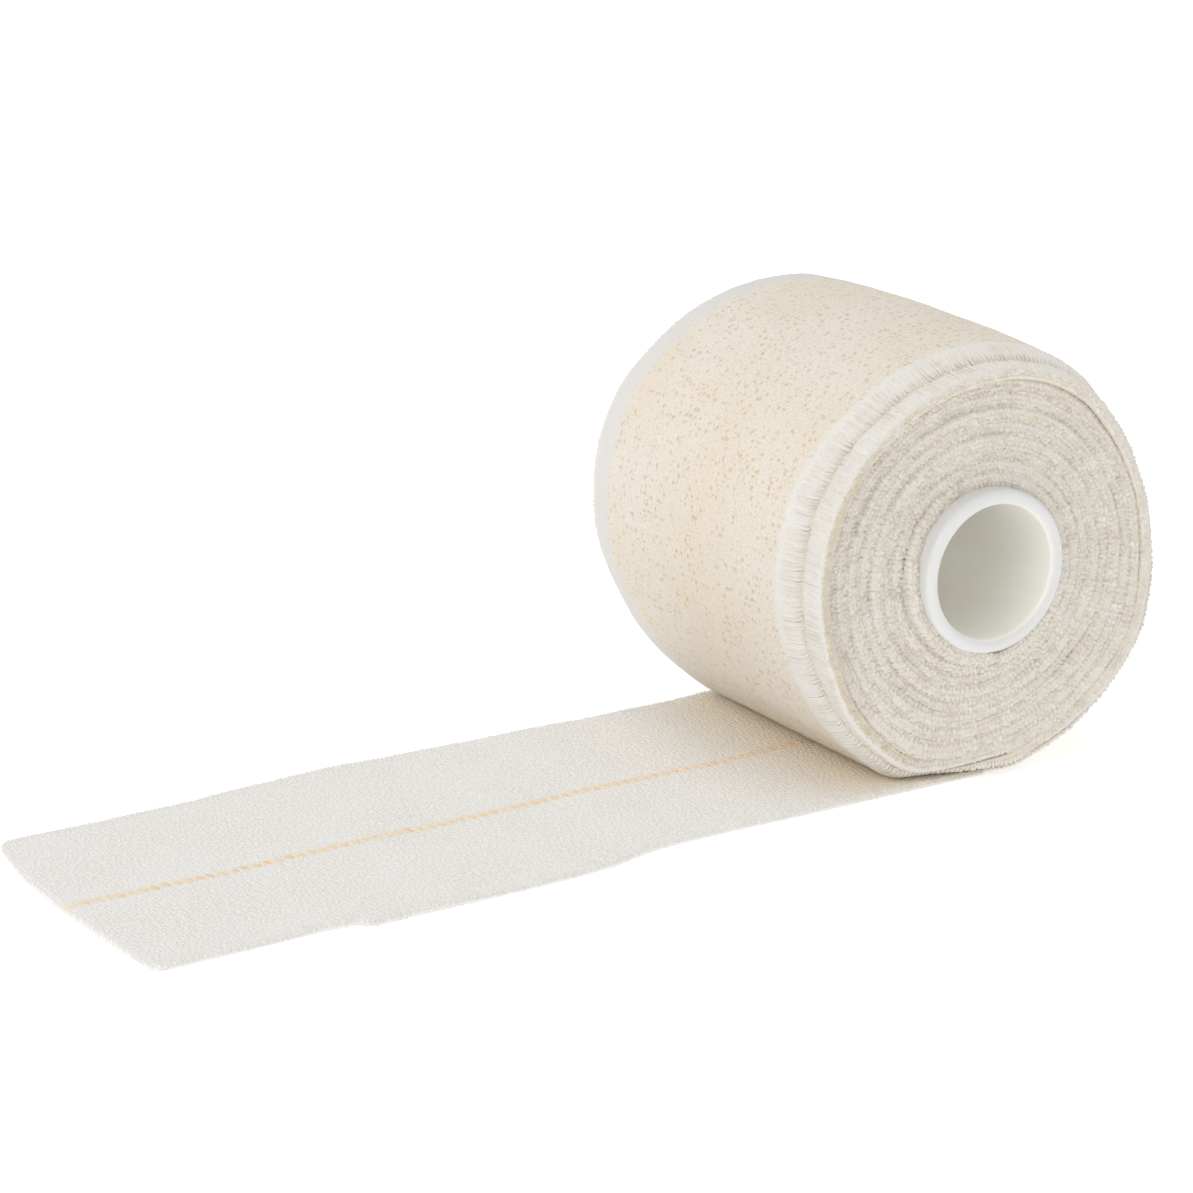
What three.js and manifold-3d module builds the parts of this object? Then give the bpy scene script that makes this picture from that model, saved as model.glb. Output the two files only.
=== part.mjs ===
// Elastic adhesive bandage roll: one woven strip wound on a plastic core, its loose end lying flat.
// Millimetres, +Z up. The origin is on the table, under the core's axis, halfway along it.
// The core's axis runs along Y, the near end is at -Y, and the loose end runs out towards -X.
import * as THREE from "three";
import Module from "manifold-3d";
import { mergeVertices } from "three/addons/utils/BufferGeometryUtils.js";

// Driving dimensions
const STRIP_WIDTH = 74;
const CLOTH = 1.2;
const GAP = 0.3;
const MERGE_WITHIN = 1e-5;

// Core tube
const CORE_OUTER_RADIUS = 16.2;
const CORE_WALL = 2.9;
const CORE_LENGTH = 76;
const CORE_RIM_RADIUS = 1.2;
const CORE_HEIGHT = 42.5;
const CORE_NEAR_END = -40.8;
const CORE_SIDES = 40;
const RIM_STEPS = 3;

// Wound roll
const ROLL_NEAR_END = -39;
const ROLL_SIDES = 60;
const RIDGES = 8;
const RIDGE_DEPTH = 0.7;
const COLLAR_TO = 0.04;
const FIRST_RIDGE_AT = 0.06;
const GROOVE_AT = 0.9;
const GROOVE_DEPTH = 1.6;
const RIM_AT = 0.94;
const LUMP = 0.1;
const LUMPS_COARSE = { count: 5, phase: 0.7, share: 1 };
const LUMPS_FINE = { count: 9, phase: 2.1, share: 0.6 };
const CROWN = 1.3;
const CROWN_MIDDLE = 0.53;
const CROWN_FALL = 2.2;
const CROWN_RINGS = [0.12, 0.2, 0.36, 0.53, 0.7, 0.84, 0.92];
const CLEAR_OF_TABLE = { from: -0.9, to: -0.2 };

// Distance from the core's axis to the outside of the roll, for each direction seen from the near end.
// Direction 0 is +X, 90 is up and 180 points over the loose end. The table cuts the lowest ones off.
const OUTLINE = [
  { degrees: 0, radius: 40.7 },
  { degrees: 20, radius: 39.9 },
  { degrees: 40, radius: 40.3 },
  { degrees: 60, radius: 42.0 },
  { degrees: 84, radius: 42.1 },
  { degrees: 114, radius: 42.0 },
  { degrees: 150, radius: 42.8 },
  { degrees: 180, radius: 42.2 },
  { degrees: 204, radius: 41.4 },
  { degrees: 222, radius: 42.3 },
  { degrees: 234, radius: 42.9 },
  { degrees: 246, radius: 44.2 },
  { degrees: 258, radius: 44.4 },
  { degrees: 270, radius: 44.0 },
  { degrees: 290, radius: 43.0 },
  { degrees: 318, radius: 43.2 },
  { degrees: 332, radius: 43.8 },
  { degrees: 346, radius: 42.5 },
];

// How far the cloth has slipped along the axis towards +Y, for each direction: the innermost wrap, which
// stands out round the core, the inner wraps, the rim (the last wrap but one), the near edge of the
// outermost wrap, and the far edge of both outer wraps.
const SLIP = [
  { degrees: 0, collar: 0.4, inner: 0.8, rim: 0.2, outermost: 1.2, farEdge: 4.0 },
  { degrees: 45, collar: 1.1, inner: 1.4, rim: 0.0, outermost: 2.8, farEdge: 4.0 },
  { degrees: 90, collar: 2.1, inner: 2.4, rim: 0.0, outermost: 3.9, farEdge: 4.0 },
  { degrees: 135, collar: 2.4, inner: 3.2, rim: 0.0, outermost: 4.8, farEdge: 4.0 },
  { degrees: 180, collar: 1.1, inner: 3.0, rim: 0.0, outermost: 5.5, farEdge: 4.0 },
  { degrees: 204, collar: 0.1, inner: 2.6, rim: 0.5, outermost: 5.6, farEdge: 2.4 },
  { degrees: 225, collar: -0.5, inner: 2.2, rim: 1.6, outermost: 5.0, farEdge: -1.0 },
  { degrees: 246, collar: -1.0, inner: 1.6, rim: 2.4, outermost: 3.6, farEdge: -3.6 },
  { degrees: 270, collar: -1.2, inner: 1.0, rim: 1.4, outermost: 2.0, farEdge: -2.0 },
  { degrees: 315, collar: -0.4, inner: 0.6, rim: 0.6, outermost: 1.2, farEdge: 2.6 },
];

// Loose end
const TAIL_REACH = 187;
const TAIL_UNDER_ROLL = 3;
const TAIL_STEPS = 60;
const TAIL_LINES = [-1, -0.93, -0.5, 0, 0.5, 0.93, 1];
const WAVE_TURN = 2;
const TAIL_WIDTH = 69.5;
const TAIL_START = -1.6;
const TAIL_SKEW = 0.104;
const FAR_CORNER_SHORT = 4;
const CORNER_ROUNDING = 5;
const SURFACE_WAVE = 0.15;
const SURFACE_WAVE_LENGTH = 56;

// How far each edge of the loose end swings out from its straight line, by distance from the core's axis
const NEAR_EDGE_OUT = [
  { distance: -5, out: 0.0 },
  { distance: 13, out: -0.4 },
  { distance: 38, out: -0.9 },
  { distance: 66, out: -1.6 },
  { distance: 78, out: -1.0 },
  { distance: 88, out: 1.5 },
  { distance: 98, out: 2.3 },
  { distance: 108, out: 2.5 },
  { distance: 132, out: 2.2 },
  { distance: 142.5, out: 2.3 },
  { distance: 144.6, out: 0.0 },
  { distance: 150, out: -0.5 },
  { distance: 165, out: -0.2 },
  { distance: 190, out: -0.2 },
];
const FAR_EDGE_OUT = [
  { distance: -5, out: -0.2 },
  { distance: 50, out: -0.2 },
  { distance: 64, out: 0.4 },
  { distance: 78, out: 1.3 },
  { distance: 92, out: 2.2 },
  { distance: 106, out: 2.6 },
  { distance: 120, out: 2.2 },
  { distance: 134, out: 1.65 },
  { distance: 161, out: 0.6 },
  { distance: 190, out: 0.5 },
];

const CREAM = 0xefe6d6;
const WHITE_PLASTIC = 0xf3f4f3;

// Reads a column of a table of directions, smoothly and all the way round
function around(table, column, degrees) {
  const turn = ((degrees % 360) + 360) % 360;
  const last = table.length - 1;
  let low = last;
  for (let row = 0; row < last; row += 1) {
    if (turn >= table[row].degrees && turn < table[row + 1].degrees) {
      low = row;
    }
  }
  const high = (low + 1) % table.length;
  const span = (table[high].degrees - table[low].degrees + 360) % 360;
  const step = ((turn - table[low].degrees + 360) % 360) / span;
  const ease = step * step * (3 - 2 * step);
  const blend = (step + ease) / 2;
  return table[low][column] * (1 - blend) + table[high][column] * blend;
}

// Outside of the roll, with slight lumps, cut off where it stands on the table
function outline(degrees) {
  const angle = THREE.MathUtils.degToRad(degrees);
  const lumps = (row) => LUMP * row.share * Math.sin(row.count * angle + row.phase);
  const free = around(OUTLINE, "radius", degrees) + lumps(LUMPS_COARSE) + lumps(LUMPS_FINE);
  const down = -Math.sin(angle);
  return down > 0 ? Math.min(free, CORE_HEIGHT / down) : free;
}

// How much the roll swells at a place between its two ends, except where it nears the table
function crown(degrees, place) {
  const aside = Math.min(1, 2 * Math.abs(place - CROWN_MIDDLE));
  const up = Math.sin(THREE.MathUtils.degToRad(degrees));
  const clear = THREE.MathUtils.smoothstep(up, CLEAR_OF_TABLE.from, CLEAR_OF_TABLE.to);
  return CROWN * (1 - aside ** CROWN_FALL) * clear;
}

// Rings of the wound body: the near face from the bore outwards, the outside, then the far face
function rollRings() {
  const bore = CORE_OUTER_RADIUS + GAP;
  const ridgeStep = (GROOVE_AT - FIRST_RIDGE_AT) / RIDGES;
  const face = [
    { share: 0, near: "collar", far: "inner", sunk: 0 },
    { share: COLLAR_TO, near: "collar", far: "inner", sunk: 0 },
  ];
  for (let ridge = 0; ridge < RIDGES; ridge += 1) {
    const start = FIRST_RIDGE_AT + ridge * ridgeStep;
    face.push({ share: start, near: "inner", far: "inner", sunk: RIDGE_DEPTH });
    face.push({ share: start + ridgeStep / 2, near: "inner", far: "inner", sunk: 0 });
  }
  face.push({ share: GROOVE_AT, near: "inner", far: "inner", sunk: GROOVE_DEPTH });
  face.push({ share: RIM_AT, near: "rim", far: "farEdge", sunk: 0 });
  face.push({ share: 1, thinner: CLOTH, near: "rim", far: "farEdge", sunk: 0 });
  face.push({ share: 1, thinner: CLOTH / 2, near: "outermost", far: "farEdge", sunk: 0 });
  face.push({ share: 1, near: "outermost", far: "farEdge", sunk: CLOTH / 2 });

  const radius = (row) => (degrees) => bore + (outline(degrees) - bore) * row.share - (row.thinner ?? 0);
  const nearRing = (row) => ({
    radius: radius(row),
    along: (degrees) => ROLL_NEAR_END + around(SLIP, row.near, degrees) + row.sunk,
  });
  const farRing = (row) => ({
    radius: radius(row),
    along: (degrees) => ROLL_NEAR_END + STRIP_WIDTH + around(SLIP, row.far, degrees) - row.sunk,
  });
  const outsideRing = (place) => ({
    radius: (degrees) => outline(degrees) + crown(degrees, place),
    along: () => ROLL_NEAR_END + STRIP_WIDTH * place,
  });
  return [...face.map(nearRing), ...CROWN_RINGS.map(outsideRing), ...face.map(farRing).reverse()];
}

// Closed body of rings that run round the core's axis, each joined to the next and the last to the first
function ringBody(rings, sides) {
  const positions = [];
  for (const ring of rings) {
    for (let side = 0; side < sides; side += 1) {
      const degrees = (side / sides) * 360;
      const angle = THREE.MathUtils.degToRad(degrees);
      const radius = ring.radius(degrees);
      const height = Math.max(0, CORE_HEIGHT + radius * Math.sin(angle));
      positions.push(radius * Math.cos(angle), ring.along(degrees), height);
    }
  }
  const index = [];
  for (let ring = 0; ring < rings.length; ring += 1) {
    const next = (ring + 1) % rings.length;
    for (let side = 0; side < sides; side += 1) {
      const beside = (side + 1) % sides;
      const a = ring * sides + side;
      const b = ring * sides + beside;
      const c = next * sides + beside;
      const d = next * sides + side;
      index.push(a, c, b, a, d, c);
    }
  }
  return indexed(positions, index);
}

function indexed(positions, index) {
  const geometry = new THREE.BufferGeometry();
  geometry.setAttribute("position", new THREE.Float32BufferAttribute(positions, 3));
  geometry.setIndex(index);
  return geometry;
}

// Reads a table of the loose end's edge at a distance from the core's axis
function edgeOut(table, distance) {
  const high = table.findIndex((row) => row.distance > distance);
  const before = table[high - 1];
  const after = table[high];
  const step = (distance - before.distance) / (after.distance - before.distance);
  return before.out + (after.out - before.out) * step;
}

// Place across the table of one lengthwise line of the loose end, at a distance from the core's axis
function tailLine(distance, across) {
  const middle = TAIL_START - TAIL_SKEW * distance;
  const near = middle - TAIL_WIDTH / 2 - edgeOut(NEAR_EDGE_OUT, distance);
  const far = middle + TAIL_WIDTH / 2 + edgeOut(FAR_EDGE_OUT, distance);
  return near + ((far - near) * (across + 1)) / 2;
}

// Length of the loose end along one of its lengthwise lines, with both corners of the cut rounded
function tailReach(across) {
  const short = FAR_CORNER_SHORT * Math.max(0, across) ** 2;
  const inset = Math.max(0, CORNER_ROUNDING - (1 - Math.abs(across)) * (TAIL_WIDTH / 2));
  const rounding = CORNER_ROUNDING - Math.sqrt(CORNER_ROUNDING ** 2 - inset ** 2);
  return TAIL_REACH - short - rounding / 2;
}

// The loose end: a sheet with a flat underside and a slightly uneven top
function tailBody() {
  const positions = [];
  const columns = TAIL_LINES.length;
  const rows = TAIL_STEPS + 1;
  for (const level of [0, 1]) {
    for (let row = 0; row < rows; row += 1) {
      for (const across of TAIL_LINES) {
        const distance = -TAIL_UNDER_ROLL + (row / TAIL_STEPS) * (tailReach(across) + TAIL_UNDER_ROLL);
        const wave = Math.sin((2 * Math.PI * distance) / SURFACE_WAVE_LENGTH + WAVE_TURN * across);
        positions.push(-distance, tailLine(distance, across), level * (CLOTH + SURFACE_WAVE * wave));
      }
    }
  }
  const index = [];
  const at = (level, row, column) => (level * rows + row) * columns + column;
  const quad = (a, b, c, d) => index.push(a, b, c, a, c, d);
  for (let row = 0; row < rows - 1; row += 1) {
    for (let column = 0; column < columns - 1; column += 1) {
      quad(at(1, row, column), at(1, row, column + 1), at(1, row + 1, column + 1), at(1, row + 1, column));
      quad(at(0, row, column), at(0, row + 1, column), at(0, row + 1, column + 1), at(0, row, column + 1));
    }
    quad(at(1, row, 0), at(1, row + 1, 0), at(0, row + 1, 0), at(0, row, 0));
    const end = columns - 1;
    quad(at(1, row, end), at(0, row, end), at(0, row + 1, end), at(1, row + 1, end));
  }
  for (let column = 0; column < columns - 1; column += 1) {
    const end = rows - 1;
    quad(at(1, 0, column), at(0, 0, column), at(0, 0, column + 1), at(1, 0, column + 1));
    quad(at(1, end, column), at(1, end, column + 1), at(0, end, column + 1), at(0, end, column));
  }
  return indexed(positions, index);
}

// Joins closed bodies into one
function joined(wasm, geometries) {
  const solids = geometries.map((geometry) => {
    const bare = mergeVertices(geometry, MERGE_WITHIN);
    const vertProperties = new Float32Array(bare.attributes.position.array);
    const triVerts = new Uint32Array(bare.index.array);
    return new wasm.Manifold(new wasm.Mesh({ numProp: 3, vertProperties, triVerts }));
  });
  const whole = solids.reduce((sum, solid) => sum.add(solid));
  const mesh = whole.getMesh();
  return indexed(Array.from(mesh.vertProperties), Array.from(mesh.triVerts));
}

// Profile of the core's wall, radius across and length up, with its four edges rounded
function coreProfile() {
  const outer = CORE_OUTER_RADIUS;
  const inner = CORE_OUTER_RADIUS - CORE_WALL;
  const r = CORE_RIM_RADIUS;
  const corners = [
    { x: outer - r, y: r, from: -90 },
    { x: outer - r, y: CORE_LENGTH - r, from: 0 },
    { x: inner + r, y: CORE_LENGTH - r, from: 90 },
    { x: inner + r, y: r, from: 180 },
  ];
  const points = [];
  for (const corner of corners) {
    for (let step = 0; step <= RIM_STEPS; step += 1) {
      const angle = THREE.MathUtils.degToRad(corner.from + (90 * step) / RIM_STEPS);
      points.push(new THREE.Vector2(corner.x + r * Math.cos(angle), corner.y + r * Math.sin(angle)));
    }
  }
  points.push(points[0].clone());
  return points;
}

function named(name, geometry, color, roughness) {
  const material = new THREE.MeshStandardMaterial({ color, roughness, metalness: 0 });
  const mesh = new THREE.Mesh(geometry, material);
  mesh.name = name;
  return mesh;
}

const wasm = await Module();
wasm.setup();

const roll = new THREE.Group();

const strip = joined(wasm, [ringBody(rollRings(), ROLL_SIDES), tailBody()]);
roll.add(named("bandage", strip, CREAM, 0.9));

const core = named("core", new THREE.LatheGeometry(coreProfile(), CORE_SIDES), WHITE_PLASTIC, 0.35);
core.position.set(0, CORE_NEAR_END, CORE_HEIGHT);
roll.add(core);

export default roll;
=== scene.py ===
import math

import bpy
import numpy as np
from mathutils import Matrix


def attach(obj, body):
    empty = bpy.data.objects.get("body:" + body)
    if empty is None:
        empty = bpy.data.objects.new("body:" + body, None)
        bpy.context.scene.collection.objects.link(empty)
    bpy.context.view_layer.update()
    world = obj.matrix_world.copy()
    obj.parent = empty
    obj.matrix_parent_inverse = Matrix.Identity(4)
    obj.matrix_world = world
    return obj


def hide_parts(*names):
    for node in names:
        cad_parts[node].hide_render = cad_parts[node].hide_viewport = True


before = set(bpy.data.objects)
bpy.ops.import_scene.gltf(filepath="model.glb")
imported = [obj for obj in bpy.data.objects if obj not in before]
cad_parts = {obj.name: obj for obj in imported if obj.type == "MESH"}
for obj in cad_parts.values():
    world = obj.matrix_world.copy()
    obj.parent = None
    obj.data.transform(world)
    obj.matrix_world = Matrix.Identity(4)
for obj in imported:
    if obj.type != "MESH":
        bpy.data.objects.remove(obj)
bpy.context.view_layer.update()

# Elastic adhesive bandage roll. The core's axis runs along Y at CORE_HEIGHT, the near end is at -Y, and
# the loose end runs out towards -X on the table. The pieces are worked out in millimetres and made in
# metres; bumps, lights and camera are in metres.
MM = 0.001
SEED = 20

# Shared with the solids
STRIP_WIDTH = 74.0
CLOTH = 1.2
CORE_HEIGHT = 42.5
CORE_OUTER_RADIUS = 16.2
CORE_WALL = 2.9
CORE_LENGTH = 76.0
CORE_NEAR_END = -40.8
CORE_RIM_RADIUS = 1.2
ROLL_NEAR_END = -39.0
BORE = 16.5
# Direction in degrees from +X upwards, then the roll's radius there
OUTLINE = (
    (0, 40.7), (20, 39.9), (40, 40.3), (60, 42.0), (84, 42.1), (114, 42.0),
    (150, 42.8), (180, 42.2), (204, 41.4), (222, 42.3), (234, 42.9), (246, 44.2),
    (258, 44.4), (270, 44.0), (290, 43.0), (318, 43.2), (332, 43.8), (346, 42.5),
)
# Lumps on top of the outline: share of LUMP, number round the roll, phase
LUMP = 0.1
LUMPS = ((1.0, 5, 0.7), (0.6, 9, 2.1))
# The swelling between the ends: its height, its middle in shares of the width, its flatness, and the sine
# of the direction where it starts above the table, with the range over which it grows
CROWN = 1.3
CROWN_MIDDLE = 0.53
CROWN_FLATNESS = 2.2
CROWN_FROM = -0.9
CROWN_OVER = 0.7
# Direction, then how far along the axis the inner wraps have slipped there, the near edge of the rim, the
# near edge of the outermost wrap, and the far edge of the outermost wrap
SLIP = (
    (0, 0.8, 0.2, 1.2, 4.0),
    (45, 1.4, 0.0, 2.8, 4.0),
    (90, 2.4, 0.0, 3.9, 4.0),
    (135, 3.2, 0.0, 4.8, 4.0),
    (180, 3.0, 0.0, 5.5, 4.0),
    (204, 2.6, 0.5, 5.6, 2.4),
    (225, 2.2, 1.6, 5.0, -1.0),
    (246, 1.6, 2.4, 3.6, -3.6),
    (270, 1.0, 1.4, 2.0, -2.0),
    (315, 0.6, 0.6, 1.2, 2.6),
)
INNER, RIM, OUTERMOST, FAR_EDGE = 1, 2, 3, 4
TAIL_REACH = 187.0
TAIL_UNDER_ROLL = 3.0
TAIL_WIDTH = 69.5
TAIL_START = -1.6
TAIL_SKEW = 0.104
FAR_CORNER_SHORT = 4.0
CORNER_ROUNDING = 5.0

# The winding. FIRST_LEVEL is the step inwards from the outermost wrap, in shares of the other steps
TURNS = 10
FIRST_LEVEL = 0.62
LEVELS = TURNS - 1 + FIRST_LEVEL
ROUND_RADIUS = 40.0
ROUNDER_INSIDE = 3.0
# Places on the strip's path, in degrees from the bottom, growing inwards from wrap to wrap
WOUND_FROM = 4.05
OUTER_TO = 384.0
RIM_TO = 735.0
WOUND_TO = 360 * TURNS + 8
# A turn is counted from TURN_FROM. DIVE_FROM degrees later the strip dives under the wrap outside it
TURN_FROM = 30.0
DIVE_FROM = 304.0
DIVE_OVER = 56.0
# Where the strip runs low, it stays above the table, and above the loose end with a small clearance
LOW_FROM = 0.2
NOT_LOW = 1e3
TABLE_BLEND = 1.2
TAIL_BLEND = 0.6
TAIL_CLEARANCE = 0.15
ROOM_LIMITS = (0.35, 3.5)
EDGE_THINS_BY = 1.0
EDGE_THINS_OVER = 3.4
# Each wrap's own slip, outermost first on the near end and innermost first on the far end
WRAP_SLIP = (0.0, 0.0, 0.0, 0.25, -0.3, 0.35, -0.45, 0.3, -0.15, 0.1, 0.0)
WRAP_SLIP_TWIST = 1.9
FAR_WRAP_SLIP = 0.4
FAR_RIM_OUTERMOST = 0.45
FAR_RIM_INNER = 0.55
# The innermost wrap stands out round the core, most of all at one side
INNERMOST_FROM = 8.2
INNERMOST_OVER = 0.8
INNERMOST_OUT = 0.3
INNERMOST_OUT_BY = 2.4
INNERMOST_OUT_AT = 230.0
# Waves in the edges: amplitude, wavelength in degrees of the path, phase
NEAR_WOBBLE = ((0.16, 47.0, 0.4), (0.1, 19.0, 1.3))
FAR_WOBBLE = ((0.16, 41.0, 2.4), (0.1, 23.0, 0.3))

rng = np.random.default_rng(SEED)


def smooth(x):
    x = np.clip(x, 0.0, 1.0)
    return x * x * (3 - 2 * x)


def unit(vectors):
    return vectors / np.linalg.norm(vectors, axis=-1, keepdims=True)


def around(table, column, degrees):
    """A column of a table of directions, at any angles, smooth all the way round."""
    keys, values = np.array(table, float)[:, [0, column]].T
    before, after = np.roll(values, 1), np.roll(values, -1)
    gap_before = np.mod(keys - np.roll(keys, 1), 360)
    gap_after = np.mod(np.roll(keys, -1) - keys, 360)
    slopes = (after - before) / (gap_before + gap_after)
    turn = np.mod(np.asarray(degrees, float), 360)
    low = np.searchsorted(keys, turn, side="right") - 1
    high = (low + 1) % len(keys)
    gap = gap_after[low]
    x = np.mod(turn - keys[low], 360) / gap
    return (
        (2 * x**3 - 3 * x**2 + 1) * values[low]
        + (x**3 - 2 * x**2 + x) * gap * slopes[low]
        + (3 * x**2 - 2 * x**3) * values[high]
        + (x**3 - x**2) * gap * slopes[high]
    )


def soft_min(a, b, over):
    """The smaller of two values, rounded off where they differ by less than `over`."""
    near = np.clip(1 - np.abs(a - b) / over, 0, 1)
    return np.minimum(a, b) - near * near * over / 4


def waves(x, parts):
    """A sum of (amplitude, wavelength, phase) sines."""
    return sum(a * np.sin(2 * np.pi * x / length + phase) for a, length, phase in parts)


# The strip's path: `turned` is a place on it in degrees, as in WOUND_FROM
def depth_at(turned):
    """How many wraps lie outside this one. Each wrap dives under the one before it at the bottom."""
    since = np.asarray(turned, float) - TURN_FROM
    whole = np.floor(since / 360)
    depth = whole + smooth((since - 360 * whole - DIVE_FROM) / DIVE_OVER)
    return np.maximum(depth, 0)


def outside(degrees):
    """The roll's radius in a direction, without the table's flat spot."""
    angle = np.radians(degrees)
    lumps = LUMP * sum(share * np.sin(count * angle + phase) for share, count, phase in LUMPS)
    return around(OUTLINE, 1, degrees) + lumps


def down_to(drop, down):
    """How far off the core's axis a plane `drop` below it is. `down` is 1 straight down, 0 sideways."""
    return np.where(down > LOW_FROM, drop / np.maximum(down, LOW_FROM), NOT_LOW)


def outer_radius(turned):
    """Distance of the strip's outer face from the core's axis."""
    degrees = np.asarray(turned, float) - 90
    down = -np.sin(np.radians(degrees))
    whole = soft_min(outside(degrees), down_to(CORE_HEIGHT, down), TABLE_BLEND)
    depth = depth_at(turned)
    level = np.where(depth < 1, FIRST_LEVEL * depth, depth - 1 + FIRST_LEVEL)
    share = np.clip(1 - level / LEVELS, 0, 1)
    radius = BORE + (ROUND_RADIUS - BORE) * share + (whole - ROUND_RADIUS) * share**ROUNDER_INSIDE
    tail_under = np.where(np.asarray(turned) > 180, CLOTH + TAIL_CLEARANCE, 0.0)
    return soft_min(radius, down_to(CORE_HEIGHT - tail_under, down), TAIL_BLEND)


def pitch_at(turned):
    """Room for the strip between its outer face and the next wrap inwards."""
    turned = np.asarray(turned, float)
    return np.clip(outer_radius(turned) - outer_radius(turned + 360), *ROOM_LIMITS)


def crown(degrees, along):
    """How much the roll swells between its two ends."""
    off_middle = np.abs((along - ROLL_NEAR_END) / STRIP_WIDTH - CROWN_MIDDLE) * 2
    clear_of_table = smooth((np.sin(np.radians(degrees)) - CROWN_FROM) / CROWN_OVER)
    return CROWN * (1 - np.clip(off_middle, 0, 1) ** CROWN_FLATNESS) * clear_of_table


def edge_drop(turned, inside):
    """The outermost wrap thins towards its edges and lies down on the wrap below."""
    outermost = 1 - smooth(depth_at(turned))
    return EDGE_THINS_BY * outermost * (1 - smooth(inside / EDGE_THINS_OVER))


def slip_at(depth, outermost, rim, inner):
    """Slip along the axis, passing from the outermost wrap's to the rim's and on to the inner wraps'."""
    slip = outermost + (rim - outermost) * smooth(depth)
    return slip + (inner - slip) * smooth(depth - 1)


def near_edge(turned):
    """Where the near edge of the strip is, along the axis."""
    degrees = np.asarray(turned, float) - 90
    depth = depth_at(turned)
    outermost, rim, inner = (around(SLIP, column, degrees) for column in (OUTERMOST, RIM, INNER))
    slip = slip_at(depth, outermost, rim, inner)
    own = np.interp(depth, np.arange(len(WRAP_SLIP)), WRAP_SLIP)
    own = own * (0.5 + 0.5 * np.sin(np.radians(degrees) + depth * WRAP_SLIP_TWIST))
    at_side = 0.5 + 0.5 * np.cos(np.radians(degrees - INNERMOST_OUT_AT))
    innermost = smooth((depth - INNERMOST_FROM) / INNERMOST_OVER)
    innermost = innermost * (INNERMOST_OUT + INNERMOST_OUT_BY * at_side**2)
    wobble = waves(turned, NEAR_WOBBLE)
    return ROLL_NEAR_END + slip + own * np.clip(depth - 1, 0, 1) - innermost + wobble


def far_edge(turned):
    """Where the far edge of the strip is, along the axis."""
    degrees = np.asarray(turned, float) - 90
    depth = depth_at(turned)
    outermost, inner = (around(SLIP, column, degrees) for column in (FAR_EDGE, INNER))
    rim = FAR_RIM_OUTERMOST * outermost + FAR_RIM_INNER * inner
    slip = slip_at(depth, outermost, rim, inner)
    own = FAR_WRAP_SLIP * np.interp(depth, np.arange(len(WRAP_SLIP)), WRAP_SLIP[::-1])
    wobble = waves(turned, FAR_WOBBLE)
    return ROLL_NEAR_END + STRIP_WIDTH + slip - own * np.clip(depth - 1, 0, 1) + wobble


def on_roll(turned, along, above):
    """A point on the wound strip: place along the axis, and height above the strip's outer face."""
    degrees = np.asarray(turned, float) - 90
    angle = np.radians(degrees)
    share = np.clip(1 - depth_at(turned) / LEVELS, 0, 1)
    radius = outer_radius(turned) + above + crown(degrees, along) * share
    x = radius * np.cos(angle)
    z = CORE_HEIGHT + radius * np.sin(angle)
    return np.stack(np.broadcast_arrays(x, along, z), -1)


# The strip's length at each place on its path
PATH_STEP = 0.5
PATH_SPARE = 20
PATH_TURNED = np.arange(WOUND_FROM, WOUND_TO + PATH_SPARE, PATH_STEP)
PATH_PIECES = np.linalg.norm(np.diff(on_roll(PATH_TURNED, 0.0, -CLOTH / 2), axis=0), axis=1)
PATH_LENGTH = np.concatenate([[0], np.cumsum(PATH_PIECES)])


def turned_at(length):
    return np.interp(length, PATH_LENGTH, PATH_TURNED)


def length_at(turned):
    return np.interp(turned, PATH_TURNED, PATH_LENGTH)


def lengthwise(turned):
    """The direction along the strip at points on the roll."""
    return unit(on_roll(turned + 0.5, 0.0, 0.0) - on_roll(turned - 0.5, 0.0, 0.0))


# The loose end: `distance` runs from the core's axis towards -X, `across` from -1 near to 1 far.
# Distance, then how far each edge lies outwards of its straight line
NEAR_EDGE_OUT = (
    (-5, 0.0), (13, -0.4), (38, -0.9), (66, -1.6), (78, -1.0), (88, 1.5), (98, 2.3),
    (108, 2.5), (132, 2.2), (142.5, 2.3), (144.6, 0.0), (150, -0.5), (165, -0.2), (190, -0.2),
)
FAR_EDGE_OUT = (
    (-5, -0.2), (50, -0.2), (64, 0.4), (78, 1.3), (92, 2.2),
    (106, 2.6), (120, 2.2), (134, 1.65), (161, 0.6), (190, 0.5),
)
EDGE_WAVES = ((0.05, 5.3, 0.2), (0.04, 2.9, 1.1))
FAR_EDGE_WAVES = 0.8
# The slow waves that its upper side lies in, skewed across it and flat near the roll
TAIL_WAVES = ((0.14, 56.0, 0.0), (0.07, 23.0, 1.0))
TAIL_WAVE_SKEW = 9
TAIL_WAVES_OVER = 20
WAVES_ABOVE = 0.4


def table_line(table, x):
    keys, values = np.array(table, float).T
    return np.interp(x, keys, values)


def tail_edges(distance):
    """Places along the axis of the loose end's near and far edges."""
    middle = TAIL_START - TAIL_SKEW * distance
    near = middle - TAIL_WIDTH / 2 - table_line(NEAR_EDGE_OUT, distance)
    far = middle + TAIL_WIDTH / 2 + table_line(FAR_EDGE_OUT, distance)
    fine = waves(distance, EDGE_WAVES)
    return near + fine, far - FAR_EDGE_WAVES * fine


def tail_reach(across):
    """Distance of the cut, with its shorter far corner and its rounded corners."""
    short = FAR_CORNER_SHORT * np.maximum(0, across) ** 2
    inset = np.maximum(0, CORNER_ROUNDING - (1 - np.abs(across)) * (TAIL_WIDTH / 2))
    rounding = CORNER_ROUNDING - np.sqrt(CORNER_ROUNDING**2 - inset**2)
    return TAIL_REACH - short - rounding / 2


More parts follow.
